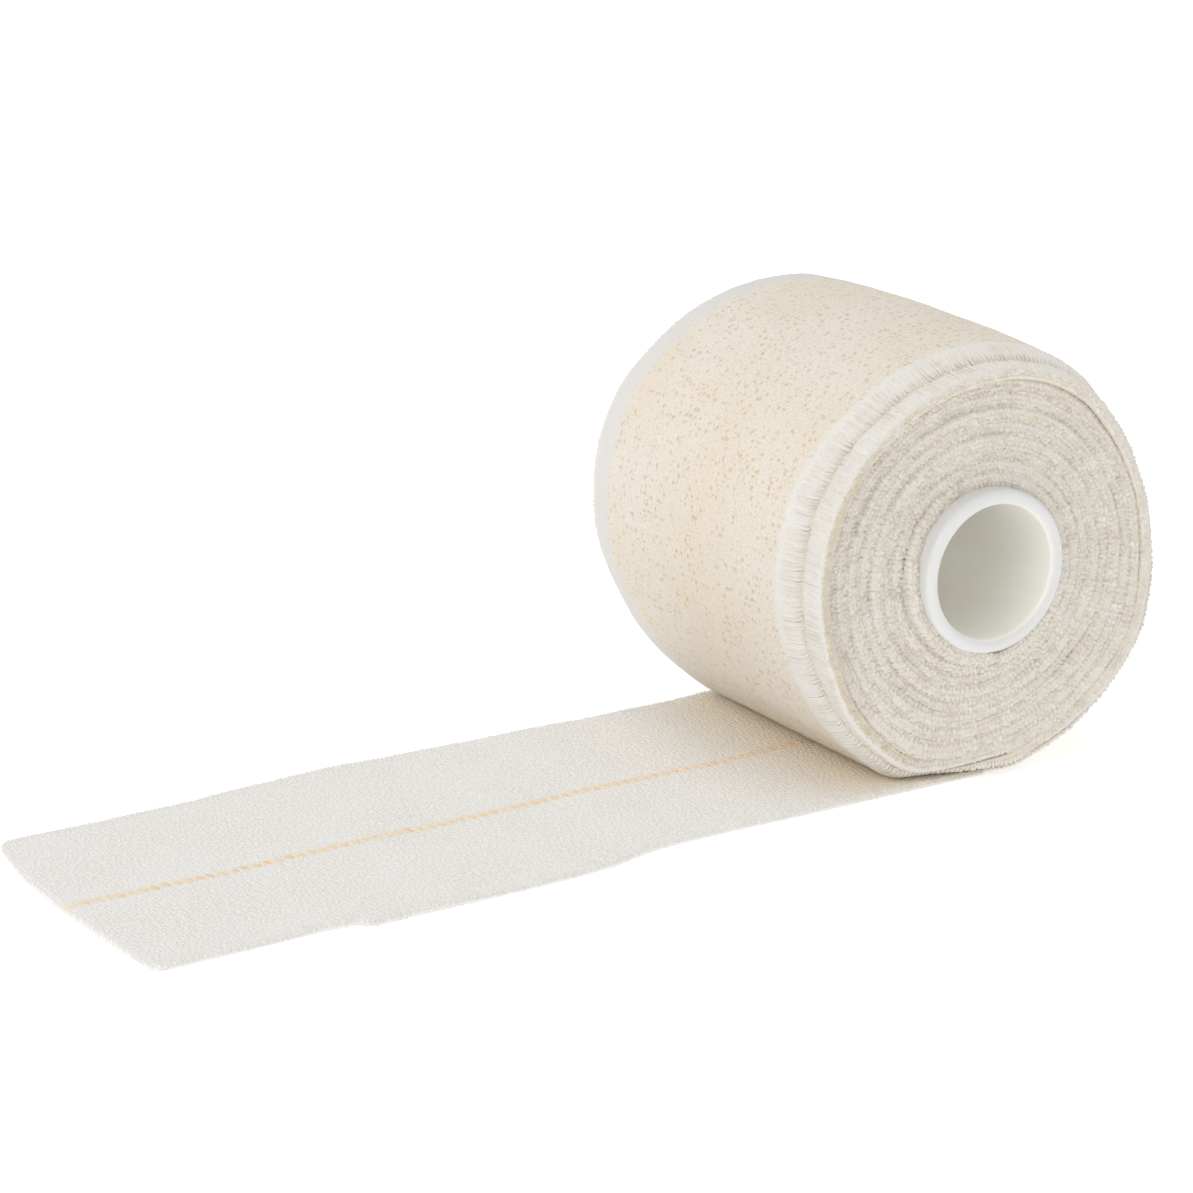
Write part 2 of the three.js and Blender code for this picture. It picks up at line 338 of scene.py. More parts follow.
def tail_wave(distance, across):
    wave = waves(distance + TAIL_WAVE_SKEW * across, TAIL_WAVES)
    return wave * np.clip((distance + TAIL_UNDER_ROLL) / TAIL_WAVES_OVER, 0, 1)


def on_tail(distance, across, height):
    near, far = tail_edges(distance)
    y = near + (far - near) * (across + 1) / 2
    lift = np.where(height > WAVES_ABOVE, tail_wave(distance, across), 0.0)
    return np.stack(np.broadcast_arrays(-distance, y, height + lift), -1)


# Meshes
SHARP_FROM = math.radians(76)
ON_THE_TABLE = (-np.inf, -np.inf, 0.0)
ALONG_X = (1.0, 0.0, 0.0)
ALONG_Y = (0.0, 1.0, 0.0)


def new_piece(name, points, faces, material, attributes=None, replaces=None):
    """A piece from points in millimetres and lists of polygons, riding on the part's one body."""
    mesh = bpy.data.meshes.new(name)
    points = np.maximum(points, ON_THE_TABLE)
    mesh.vertices.add(len(points))
    mesh.vertices.foreach_set("co", (points * MM).astype(np.float32).ravel())
    corners = np.concatenate([f.ravel() for f in faces]).astype(np.int32)
    sizes = np.concatenate([np.full(len(f), f.shape[1]) for f in faces])
    starts = np.concatenate([[0], np.cumsum(sizes)[:-1]]).astype(np.int32)
    mesh.loops.add(len(corners))
    mesh.loops.foreach_set("vertex_index", corners)
    mesh.polygons.add(len(sizes))
    mesh.polygons.foreach_set("loop_start", starts)
    mesh.update(calc_edges=True)
    mesh.validate()
    mesh.shade_smooth()
    mesh.set_sharp_from_angle(angle=SHARP_FROM)
    for key, values in (attributes or {}).items():
        kind, field = ("FLOAT", "value") if np.ndim(values) == 1 else ("FLOAT_VECTOR", "vector")
        layer = mesh.attributes.new(name=key, type=kind, domain="POINT")
        layer.data.foreach_set(field, np.asarray(values, np.float32).ravel())
    mesh.materials.append(material)
    piece = bpy.data.objects.new(name, mesh)
    bpy.context.scene.collection.objects.link(piece)
    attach(piece, "root")
    if replaces:
        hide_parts(replaces)
    return piece


def ring_grid(rows, columns):
    """Quads of a tube of closed rings, and its two end caps."""
    first = np.arange(rows - 1)[:, None] * columns
    here = np.arange(columns)
    beside = (here + 1) % columns
    quads = np.stack([first + here, first + beside, first + columns + beside, first + columns + here], -1)
    start = np.arange(columns)[::-1][None, :]
    end = (rows - 1) * columns + np.arange(columns)[None, :]
    return quads.reshape(-1, 4), start, end


def tubes(paths, sideways, radii, sides):
    """Many closed tubes: paths (n, k, 3), a sideways direction for each, radii (n, k)."""
    n, k, _ = paths.shape
    tangents = unit(np.gradient(paths, axis=1))
    side = np.broadcast_to(sideways, paths.shape)
    side = unit(side - (side * tangents).sum(2, keepdims=True) * tangents)
    other = np.cross(tangents, side)
    angle = np.arange(sides) * 2 * np.pi / sides
    ring = np.cos(angle)[:, None] * side[:, :, None, :] + np.sin(angle)[:, None] * other[:, :, None, :]
    points = (paths[:, :, None, :] + radii[:, :, None, None] * ring).reshape(-1, 3)
    quads, start, end = ring_grid(k, sides)
    offset = (np.arange(n) * k * sides)[:, None, None]
    walls = (quads[None] + offset).reshape(-1, 4)
    caps = (np.concatenate([start, end])[None] + offset).reshape(-1, sides)
    return points, [walls, caps]


# Node materials
class Nodes:
    """A material's node tree, with short calls for the nodes that are used here."""

    def __init__(self, name):
        self.material = bpy.data.materials.new(name)
        self.material.use_nodes = True
        self.tree = self.material.node_tree
        self.shader = self.tree.nodes["Principled BSDF"]

    def put(self, socket, value):
        if isinstance(value, bpy.types.NodeSocket):
            self.tree.links.new(value, socket)
        else:
            socket.default_value = value

    def add(self, kind, settings=None, **inputs):
        node = self.tree.nodes.new(kind)
        for key, value in (settings or {}).items():
            setattr(node, key, value)
        for key, value in inputs.items():
            self.put(node.inputs[key], value)
        return node

    def in_order(self, kind, values, **settings):
        node = self.add(kind, settings)
        for socket, value in zip(node.inputs, values):
            self.put(socket, value)
        return node

    def math(self, operation, *values, clamp=False):
        node = self.in_order("ShaderNodeMath", values, operation=operation, use_clamp=clamp)
        return node.outputs[0]

    def vector(self, operation, *values):
        node = self.in_order("ShaderNodeVectorMath", values, operation=operation)
        return node.outputs["Value" if operation == "LENGTH" else "Vector"]

    def ramp(self, value, low, high, to_low=0.0, to_high=1.0):
        """A smooth step from to_low at low to to_high at high."""
        limits = {"From Min": low, "From Max": high, "To Min": to_low, "To Max": to_high}
        smoothly = {"interpolation_type": "SMOOTHSTEP"}
        return self.add("ShaderNodeMapRange", smoothly, Value=value, **limits).outputs["Result"]

    def mix(self, factor, a, b):
        node = self.add("ShaderNodeMix", {"data_type": "RGBA"})
        for socket, value in ((0, factor), (6, a), (7, b)):
            self.put(node.inputs[socket], value)
        return node.outputs[2]

    def stain_or_painted_light(self, base, mask, amount, colour):
        """The base with a share of another colour where a mask is 1, used for real stains and for painted
        light.
        """
        return self.mix(self.math("MULTIPLY", mask, amount), base, colour)

    def noise(self, vector, scale, detail, roughness=0.5, output="Fac"):
        inputs = {"Vector": vector, "Scale": scale, "Detail": detail, "Roughness": roughness}
        return self.add("ShaderNodeTexNoise", **inputs).outputs[output]

    def warped(self, vector, scale, by):
        """A vector moved about by a noise, so that a pattern laid on it wanders."""
        wander = self.noise(vector, scale, 2.0, output="Color")
        node = self.in_order("ShaderNodeVectorMath", [wander], operation="SCALE")
        self.put(node.inputs["Scale"], by)
        return self.vector("ADD", vector, node.outputs["Vector"])

    def cells(self, vector, scale, randomness=1.0):
        settings = {"voronoi_dimensions": "2D", "feature": "F1"}
        node = self.add("ShaderNodeTexVoronoi", settings, Vector=vector, Scale=scale)
        self.put(node.inputs["Randomness"], randomness)
        return node.outputs

    def split(self, vector):
        return self.add("ShaderNodeSeparateXYZ", Vector=vector).outputs

    def attribute(self, name):
        settings = {"attribute_type": "GEOMETRY", "attribute_name": name}
        return self.add("ShaderNodeAttribute", settings).outputs

    def strip(self):
        """The place on the cloth in millimetres: its flat vector, then the three values of "strip"."""
        vector = self.attribute("strip")["Vector"]
        return self.vector("MULTIPLY", vector, (1.0, 1.0, 0.0)), *self.split(vector)

    def place(self):
        return self.add("ShaderNodeTexCoord").outputs["Object"]

    def bump(self, height, distance, strength=1.0):
        node = self.add("ShaderNodeBump", Height=height, Distance=distance, Strength=strength)
        return node.outputs["Normal"]

    def set_shader(self, values):
        for key, value in values.items():
            self.put(self.shader.inputs[key], value)

    def finish(self, colour, normal, roughness):
        """The material, with what varies over its surface linked in."""
        self.set_shader({"Base Color": colour, "Normal": normal, "Roughness": roughness})
        return self.material


def linear(channel):
    """Linear value of one 8 bit channel."""
    share = channel / 255
    return share / 12.92 if share <= 0.04045 else ((share + 0.055) / 1.055) ** 2.4


def srgb(*channels):
    """Linear colour of an 8 bit one, with alpha."""
    return (*(linear(channel) for channel in channels), 1.0)


CREAM = srgb(230, 224, 214)
CREAM_WARM = srgb(230, 220, 205)
BAND_WHITE = srgb(229, 226, 221)
BAND_FAR = srgb(220, 217, 213)
END_TAN = srgb(222, 213, 197)
PORE = srgb(198, 174, 134)
PORE_ORANGE = srgb(213, 177, 122)
THREAD_WHITE = srgb(233, 229, 223)
THREAD_TAN = srgb(210, 199, 178)
TAIL_THREAD = srgb(234, 231, 227)
TAIL_THREAD_GREY = srgb(214, 211, 206)
BACKING = srgb(240, 238, 234)
BACKING_DIP_SHADE = srgb(224, 219, 212)
# Painted warm bounce light from the roll, on the backing near the nip
BACKING_BOUNCE_LIGHT = srgb(253, 238, 212)
GUIDE = srgb(241, 218, 184)
GUIDE_DEEP = srgb(233, 200, 158)
OUTSIDE_PALE = srgb(223, 223, 222)
OUTSIDE_DEEP = srgb(219, 219, 217)
# The bore is paler than the outside of the core: painted light in the shaded tube
BORE_PALE = srgb(249, 247, 240)
BORE_DEEP = srgb(246, 244, 237)


def cloth_nodes(name, sheen):
    nodes = Nodes(name)
    nodes.set_shader({"Sheen Weight": sheen, "Sheen Roughness": 0.5, "Specular IOR Level": 0.25})
    return nodes


# The adhesive face. In each material a noise is its scale, detail and sometimes roughness, cells are a
# scale and a randomness, a wander is a scale and a distance, and a range is the two values that a ramp
# runs between, followed by what it runs to if that isn't 0 and 1.
# Pores: shift of the pattern, its scale, the share of its cells that hold one, and the smallest and the
# largest radius in shares of a cell
SMALL_PORES = ((0.0, 0.0, 0.0), 0.62, 0.62, 0.13, 0.37)
TINY_PORES = ((31.0, 17.0, 0.0), 1.05, 0.42, 0.12, 0.3)
RARE_PORES = ((7.0, 53.0, 0.0), 0.34, 0.13, 0.08, 0.17)
GROUPED_PORES = ((61.0, 5.0, 0.0), 0.95, 0.8, 0.12, 0.36)
PORE_SLOPE = 0.6
TINY_DEPTH = 0.7
PORE_WANDER = (0.9, 0.7)
GROUP_NOISE = (0.17, 1.0)
GROUP_RANGE = (0.58, 0.63)
PATCH_NOISE = (0.11, 3.0)
PATCH_RANGE = (0.35, 0.65, 0.7, 1.0)
# The white band along each edge, wider and greyer at the far one
FAR_HALF = (30.0, 45.0)
BAND_NOISE = (0.8, 3.0)
BAND_RAGGED = 3.2
BAND_WIDER = 3.2
BAND_RANGE = (3.7, 6.0)
CLOUD_NOISE = (0.05, 4.0)
CLOUD_RANGE = (0.3, 0.75)
GRAIN_NOISE = (1.9, 4.0, 0.65)
GRAIN_RANGE = (0.38, 0.68, 0.0, 0.3)
GRAIN_ROUGHNESS = (0.3, 0.7, 0.72, 0.9)
GRAIN_HEIGHT = 0.7
PORES_ON_CREAM = 0.6
PORES_ON_WHITE = 0.08
ORANGE_ON_CREAM = 0.8
# The distance from the edge is given as -1 on the wound cloth's lower side, which is tan
UPPER_SIDE = (-0.6, 0.1)
KNIT_CELLS = (1.1, 0.7)
KNIT_HEIGHT = -0.5
PIT_DEPTH = 0.5
ADHESIVE_BUMP = 0.00022
ADHESIVE_SHEEN = 0.08


def pores(nodes, vector, kind):
    """Round holes: 1 inside one, 0 between them."""
    shift, scale, share, smallest, largest = kind
    cells = nodes.cells(nodes.vector("ADD", vector, shift), scale)
    chance = nodes.split(cells["Color"])[0]
    reach = nodes.ramp(chance, 1 - share, 1.0, smallest, largest)
    inside = nodes.math("SUBTRACT", reach, cells["Distance"])
    there = nodes.math("GREATER_THAN", chance, 1 - share)
    return nodes.math("MULTIPLY", nodes.ramp(inside, 0.0, largest * PORE_SLOPE), there)


def tan_pores(nodes, flat, warped):
    """The many tan pores, stronger in some patches of the cloth."""
    tiny = nodes.math("MULTIPLY", pores(nodes, warped, TINY_PORES), TINY_DEPTH)
    both = nodes.math("MAXIMUM", pores(nodes, warped, SMALL_PORES), tiny)
    return nodes.math("MULTIPLY", both, nodes.ramp(nodes.noise(flat, *PATCH_NOISE), *PATCH_RANGE))


def orange_pores(nodes, flat, warped):
    """The orange pores, a few alone and the others in groups."""
    groups = nodes.ramp(nodes.noise(flat, *GROUP_NOISE), *GROUP_RANGE)
    grouped = nodes.math("MULTIPLY", pores(nodes, warped, GROUPED_PORES), groups)
    return nodes.math("MAXIMUM", pores(nodes, warped, RARE_PORES), grouped)


def coating(nodes, flat, across, from_edge):
    """1 where the adhesive covers the cloth, 0 on the white band, with a ragged border."""
    ragged = nodes.math("MULTIPLY_ADD", nodes.noise(flat, *BAND_NOISE), BAND_RAGGED, -BAND_RAGGED / 2)
    wider = nodes.ramp(across, *FAR_HALF, 0.0, BAND_WIDER)
    border = nodes.math("SUBTRACT", nodes.math("ADD", from_edge, ragged), wider)
    return nodes.ramp(border, *BAND_RANGE)


def adhesive_material():
    nodes = cloth_nodes("adhesive_face", ADHESIVE_SHEEN)
    flat, _, across, from_edge = nodes.strip()
    warped = nodes.warped(flat, *PORE_WANDER)
    holes = tan_pores(nodes, flat, warped)
    coated = coating(nodes, flat, across, from_edge)
    grain = nodes.noise(flat, *GRAIN_NOISE)
    base = nodes.mix(nodes.ramp(nodes.noise(flat, *CLOUD_NOISE), *CLOUD_RANGE), CREAM, CREAM_WARM)
    base = nodes.mix(nodes.ramp(grain, *GRAIN_RANGE), base, PORE)
    base = nodes.stain_or_painted_light(base, holes, PORES_ON_CREAM, PORE)
    base = nodes.stain_or_painted_light(base, orange_pores(nodes, flat, warped), ORANGE_ON_CREAM, PORE_ORANGE)
    band = nodes.mix(nodes.ramp(across, *FAR_HALF), BAND_WHITE, BAND_FAR)
    band = nodes.stain_or_painted_light(band, holes, PORES_ON_WHITE, PORE)
    face = nodes.mix(coated, band, base)
    colour = nodes.mix(nodes.ramp(from_edge, *UPPER_SIDE), END_TAN, face)
    knit = nodes.math("MULTIPLY", nodes.cells(flat, *KNIT_CELLS)["Distance"], KNIT_HEIGHT)
    cloth = nodes.math("MULTIPLY_ADD", grain, GRAIN_HEIGHT, knit)
    pits = nodes.math("MULTIPLY", holes, nodes.math("MULTIPLY", coated, PIT_DEPTH))
    height = nodes.math("SUBTRACT", cloth, pits)
    return nodes.finish(colour, nodes.bump(height, ADHESIVE_BUMP), nodes.ramp(grain, *GRAIN_ROUGHNESS))


# The backing, which shows on the upper side of the loose end, with the guide thread at GUIDE_ACROSS
GUIDE_ACROSS = 40.0
KNOT_WANDER = (0.6, 0.6)
KNOT_STRETCH = (1.15, 1.0, 0.0)
KNOT_CELLS = (0.95, 0.6)
KNOT_RANGE = (0.62, 0.1)
FINE_NOISE = (2.4, 3.0)
FINE_HEIGHT = 0.9
FINE_ROUGHNESS = (0.3, 0.7, 0.82, 0.95)
# The backing is darker in the dips of its weave, in clouds: painted shade
DIP_RANGE = (0.6, -0.1)
DIP_NOISE = (0.06, 3.0)
DIP_TONE = (0.3, 0.7, 0.5, 0.85)
# Painted warm bounce light from the roll on the loose end's backing, fading with the distance from the
# roll
WARM_RANGE = (52.0, 12.0)
WARM_FALL = 1.6
WARMEST = 0.85
GUIDE_TRACE = (1.9, 0.8, 0.0, 0.4)
BACKING_BUMP = 0.00016
BACKING_SHEEN = 0.15


def backing_material():
    nodes = cloth_nodes("backing_face", BACKING_SHEEN)
    flat, from_roll, across, _ = nodes.strip()
    stretched = nodes.vector("MULTIPLY", nodes.warped(flat, *KNOT_WANDER), KNOT_STRETCH)
    knots = nodes.ramp(nodes.cells(stretched, *KNOT_CELLS)["Distance"], *KNOT_RANGE)
    fine = nodes.noise(flat, *FINE_NOISE)
    height = nodes.math("ADD", knots, nodes.math("MULTIPLY_ADD", fine, FINE_HEIGHT, -FINE_HEIGHT / 2))
    # painted shade in the weave's dips, patchy through the clouds
    cloudy = nodes.ramp(nodes.noise(flat, *DIP_NOISE), *DIP_TONE)
    tone = nodes.math("MULTIPLY", nodes.ramp(height, *DIP_RANGE), cloudy)
    base = nodes.mix(tone, BACKING, BACKING_DIP_SHADE)
    # painted warm bounce light from the roll, strongest beside it
    bounce_light = nodes.math("POWER", nodes.ramp(from_roll, *WARM_RANGE), WARM_FALL)
    base = nodes.stain_or_painted_light(base, bounce_light, WARMEST, BACKING_BOUNCE_LIGHT)
    beside = nodes.math("ABSOLUTE", nodes.math("SUBTRACT", across, GUIDE_ACROSS))
    colour = nodes.mix(nodes.ramp(beside, *GUIDE_TRACE), base, GUIDE)
    return nodes.finish(colour, nodes.bump(height, BACKING_BUMP), nodes.ramp(fine, *FINE_ROUGHNESS))


# The threads, their noises in 1 / m
THREAD_FINE = (2600.0, 3.0)
THREAD_SOFT = (420.0, 2.0)
THREAD_SOFT_RANGE = (0.35, 0.7)
THREAD_MOTTLED = 0.25
THREAD_ROUGHNESS = (0.3, 0.7, 0.75, 0.95)
THREAD_BUMP = 0.00011
THREAD_SHEEN = 0.2


def thread_material(name, pale, deep):
    """Thread between two colours. The point attribute "tint" gives how deep it is."""
    nodes = cloth_nodes(name, THREAD_SHEEN)
    place = nodes.place()
    tint = nodes.attribute("tint")["Fac"]
    fine = nodes.noise(place, *THREAD_FINE)
    soft = nodes.ramp(nodes.noise(place, *THREAD_SOFT), *THREAD_SOFT_RANGE)
    colour = nodes.mix(nodes.math("MULTIPLY_ADD", soft, THREAD_MOTTLED, tint, clamp=True), pale, deep)
    return nodes.finish(colour, nodes.bump(fine, THREAD_BUMP), nodes.ramp(fine, *THREAD_ROUGHNESS))


# The core's plastic, its noises in 1 / m
PLASTIC_CLOUDS = (60.0, 3.0)
PLASTIC_FINE = (900.0, 3.0)
PLASTIC_RANGE = (0.3, 0.7)
PLASTIC_ROUGHNESS = (0.3, 0.7, 0.28, 0.36)
PLASTIC_BUMP = (0.0004, 0.25)
BORE_COLOUR_OVER = 0.0006


def plastic_material():
    nodes = Nodes("core_plastic")
    place = nodes.place()
    cloudy = nodes.noise(place, *PLASTIC_CLOUDS)
    tone = nodes.ramp(cloudy, *PLASTIC_RANGE)
    outside_colour = nodes.mix(tone, OUTSIDE_PALE, OUTSIDE_DEEP)
    # the paler bore colour is painted light inside the tube
    bore_colour = nodes.mix(tone, BORE_PALE, BORE_DEEP)
    from_axis = nodes.vector("SUBTRACT", place, (0, 0, CORE_HEIGHT * MM))
    radius = nodes.vector("LENGTH", nodes.vector("MULTIPLY", from_axis, (1.0, 0.0, 1.0)))
    bore_wall = (CORE_OUTER_RADIUS - CORE_WALL) * MM
    in_bore = nodes.ramp(radius, bore_wall + BORE_COLOUR_OVER, bore_wall)
    colour = nodes.mix(in_bore, outside_colour, bore_colour)
    normal = nodes.bump(cloudy, *PLASTIC_BUMP)
    return nodes.finish(colour, normal, nodes.ramp(nodes.noise(place, *PLASTIC_FINE), *PLASTIC_ROUGHNESS))


ADHESIVE = adhesive_material()
BACK = backing_material()
THREAD = thread_material("selvedge_thread", THREAD_WHITE, THREAD_TAN)
TAIL_THREADS = thread_material("tail_thread", TAIL_THREAD, TAIL_THREAD_GREY)
GUIDE_THREAD = thread_material("guide_thread", GUIDE, GUIDE_DEEP)
PLASTIC = plastic_material()

# The wound cloth. Columns are places across the strip, from 0 near to 1 far
OUTER_STEP = 0.62
INNER_STEP = 3.0
OUTER_TOPS = np.concatenate([
    [0, 0.003, 0.007, 0.012], np.linspace(0.018, 0.982, 112), [0.988, 0.993, 0.997, 1],
])
OUTER_BOTTOMS = (-0.008, 0.009, 0.1, 0.3, 0.5, 0.7, 0.9, 0.991, 1.008)
INNER_TOPS = (0, 0.004, 0.009, 0.018, 0.035, 0.07, 0.2, 0.5, 0.8, 0.93, 0.965, 0.982, 0.991, 0.996, 1)
INNER_BOTTOMS = (0.003, 0.009, 0.1, 0.3, 0.5, 0.7, 0.9, 0.991, 0.997)
# How far the cloth is sunk below the strip's outer face, which the threads reach, and how far its edges
# are moved outwards
OUTER_SUNK = 0.05
INNER_SUNK = 0.2
OUTER_OUT = -0.12
INNER_OUT = 0.16
INNER_OUT_OVER = 20
EDGE_ROUNDING = 0.35
EDGE_ROUNDED_OVER = 0.7
SELVEDGE_FROM = 2
SELVEDGE_OVER = 3
SELVEDGE_EXTRA = 0.25
WEAVE_ROOM = 0.1
DROP_TAKES = 0.5
RELIEF_FROM = 0.5
RELIEF_OVER = 2
RELIEF_SKEW = 0.35
RELIEF_CROSS_SKEW = 0.2
BROAD_RELIEF = ((0.05, 17.0, 0.3), (0.035, 9.1, 1.7))
CROSS_RELIEF = ((0.03, 6.3, 0.9), (0.02, 3.7, 2.2))


def relief_at(x, y):
    """Slight unevenness of the cloth's outer face."""
    return waves(x + RELIEF_SKEW * y, BROAD_RELIEF) + waves(y - RELIEF_CROSS_SKEW * x, CROSS_RELIEF)


def both_sides(tops, bottoms):
    """Columns of a strip's section, out on its upper side and back on its lower, and which are upper."""
    columns = np.concatenate([tops, bottoms[::-1]])
    return columns, np.arange(len(columns)) < len(tops)


def wound_cloth(name, turned, tops, bottoms, sunk, end_out):
    """The strip between two places on its path, its edges moved out by end_out."""
    columns, is_top = both_sides(tops, bottoms)
    t = turned[:, None]
    near, far = near_edge(t) - end_out, far_edge(t) + end_out
    width = far - near
    y = near + width * columns
    from_edge = np.minimum(columns, 1 - columns) * width
    t = t + 0 * y
    length = length_at(t)
    rounding = EDGE_ROUNDING * (1 - smooth(from_edge / EDGE_ROUNDED_OVER))
    relief = np.where(is_top, relief_at(length, y), 0.0) * smooth((from_edge - RELIEF_FROM) / RELIEF_OVER)
    drop = edge_drop(t, from_edge)
    selvedge = 1 - smooth((from_edge - SELVEDGE_FROM) / SELVEDGE_OVER)
    thick = CLOTH - WEAVE_ROOM + (pitch_at(t) + SELVEDGE_EXTRA - CLOTH) * selvedge - DROP_TAKES * drop
    above = np.where(is_top, -sunk - rounding - drop, -thick + rounding - drop) + relief
    points = on_roll(t, y, above).reshape(-1, 3)
    strip = np.stack([length, y - near, np.where(is_top, from_edge, -1.0)], -1).reshape(-1, 3)
    faces = list(ring_grid(len(turned), len(columns)))
    new_piece(name, points, faces, ADHESIVE, {"strip": strip}, "bandage")


def outer_wrap():
    turned = np.arange(WOUND_FROM, OUTER_TO, OUTER_STEP)
    wound_cloth("outer_wrap", turned, OUTER_TOPS, OUTER_BOTTOMS, OUTER_SUNK, OUTER_OUT)


def inner_wraps():
    turned = np.arange(OUTER_TO - OUTER_STEP, WOUND_TO, INNER_STEP)
    past_rim = smooth((turned - RIM_TO + INNER_OUT_OVER) / INNER_OUT_OVER)
    end_out = INNER_OUT + INNER_OUT * past_rim
    wound_cloth("inner_wraps", turned, INNER_TOPS, INNER_BOTTOMS, INNER_SUNK, end_out[:, None])


outer_wrap()
inner_wraps()

# The loose end's cloth
TAIL_ROWS = 400
TAIL_TOPS = np.concatenate([
    [-1, -0.997, -0.99, -0.98], np.linspace(-0.97, 0.97, 150), [0.98, 0.99, 0.997, 1],
])
TAIL_BOTTOMS = (-0.995, -0.97, -0.5, 0, 0.5, 0.97, 0.995)
TAIL_ROUNDING = 0.45
TAIL_ROUNDED_OVER = 0.9
CUT_ROUNDING = 0.3
CUT_ROUNDED_OVER = 0.8
TAIL_OFF_TABLE = 0.02
TAIL_ROUNDED_BELOW = 0.6
# The weave's height, its two wavelengths and how each is skewed, and where it fades out towards an edge
WEAVE_HEIGHT = 0.02
WEAVE_LENGTHS = (1.7, 1.9)
WEAVE_SKEWS = (0.3, 0.2)
WEAVE_FROM = 0.5
WEAVE_OVER = 1.5
# The guide thread's line, and the distance from stitch to stitch in it
GUIDE_START = -3.7
GUIDE_SKEW = 0.0984
GUIDE_PITCH = 2.4


def guide_place(distance):
    """Place along the axis of the guide thread."""
    return GUIDE_START - GUIDE_SKEW * distance


def weave(x, y):
    lengthways = np.cos(2 * np.pi * (x + WEAVE_SKEWS[0] * y) / WEAVE_LENGTHS[0])
    crossways = np.cos(2 * np.pi * (y - WEAVE_SKEWS[1] * x) / WEAVE_LENGTHS[1])
    return WEAVE_HEIGHT * lengthways * crossways


def zipped(upper, lower, upper_at, lower_at):
    """Triangles between two rows of vertices that run the same way at their own spacings."""
    triangles = []
    a = b = 0
    while a < len(upper) - 1 or b < len(lower) - 1:
        if b == len(lower) - 1 or (a < len(upper) - 1 and upper_at[a + 1] <= lower_at[b + 1]):
            triangles.append((upper[a], lower[b], upper[a + 1]))
            a += 1
        else:
            triangles.append((upper[a], lower[b], lower[b + 1]))
            b += 1
    return np.array(triangles)


def tail_surface():
    """Points of the loose end, row by row, and their places on the cloth."""
    across, is_top = both_sides(TAIL_TOPS, TAIL_BOTTOMS)
    share = np.linspace(0, 1, TAIL_ROWS)[:, None]
    distance = -TAIL_UNDER_ROLL + share * (tail_reach(across) + TAIL_UNDER_ROLL)
    across = across + 0 * distance
    from_edge = (1 - np.abs(across)) * TAIL_WIDTH / 2
    rounding = TAIL_ROUNDING * (1 - smooth(from_edge / TAIL_ROUNDED_OVER))
    cut = CUT_ROUNDING * (1 - smooth((1 - share) * TAIL_REACH / CUT_ROUNDED_OVER))
    near, far = tail_edges(distance)
    y = near + (far - near) * (across + 1) / 2
    relief = weave(distance, y) * smooth((from_edge - WEAVE_FROM) / WEAVE_OVER)
    upper = CLOTH - WEAVE_ROOM - rounding - cut + relief
    lower = TAIL_OFF_TABLE + TAIL_ROUNDED_BELOW * rounding
    points = on_tail(distance, across, np.where(is_top, upper, lower))
    strip = np.stack([distance, y - guide_place(distance) + GUIDE_ACROSS, from_edge], -1)
    return points.reshape(-1, 3), strip.reshape(-1, 3)


def loose_end():
    """The loose end's cloth, with the backing above and the adhesive face below."""
    columns = len(TAIL_TOPS) + len(TAIL_BOTTOMS)
    points, strip = tail_surface()
    quads, _, _ = ring_grid(TAIL_ROWS, columns)
    upper, lower = np.arange(len(TAIL_TOPS)), np.arange(columns - 1, len(TAIL_TOPS) - 1, -1)
    start = zipped(upper, lower, TAIL_TOPS, TAIL_BOTTOMS)
    end = (start + (TAIL_ROWS - 1) * columns)[:, ::-1]
    piece = new_piece("loose_end", points, [quads, start, end], BACK, {"strip": strip}, "bandage")
    piece.data.materials.append(ADHESIVE)
    is_low = np.tile(np.arange(columns) >= len(TAIL_TOPS), TAIL_ROWS - 1)
    ends = np.zeros(len(start) + len(end), np.int32)
    piece.data.polygons.foreach_set("material_index", np.concatenate([is_low.astype(np.int32), ends]))
    return piece


tail = loose_end()

# Overlocked selvedges. PITCH is the distance from stitch to stitch
PITCH = 1.03
SIDES = 5
# Paths of the stitches round the edge, outer leg first: height above the outer face in shares of the room
# for a wrap, distance in from the edge, thickness
OUTERMOST_LOOP = np.array([
    (-0.18, 4.7, 0.6), (-0.1, 3.8, 0.95), (-0.07, 2.9, 1.05), (-0.07, 2.0, 1.05), (-0.07, 1.1, 1.05),
    (-0.08, 0.5, 1.05), (-0.13, 0.15, 1.05), (-0.26, -0.06, 1.05), (-0.42, -0.2, 1.0), (-0.56, -0.34, 0.9),
])
FAR_SUNK = (0.12, 0.0, 0.0)
RIM_LOOP = np.array([
    (-0.11, 7.4, 0.6), (-0.1, 5.8, 0.9), (-0.1, 3.8, 1.0), (-0.09, 2.1, 1.0), (-0.09, 0.9, 1.0),
    (-0.13, 0.3, 1.05), (-0.24, 0.2, 1.0), (-0.36, 0.3, 0.8), (-0.42, 0.8, 0.6),
])
FACE_LOOP = np.array([
    (-0.17, 1.3, 0.8), (-0.14, 0.6, 0.95), (-0.17, 0.22, 1.1), (-0.28, 0.04, 1.3), (-0.4, 0.12, 0.95),
    (-0.5, 0.26, 0.7), (-0.6, 0.12, 0.95), (-0.72, 0.04, 1.3), (-0.84, 0.22, 1.1), (-0.88, 0.6, 0.95),
    (-0.85, 1.3, 0.8),
])
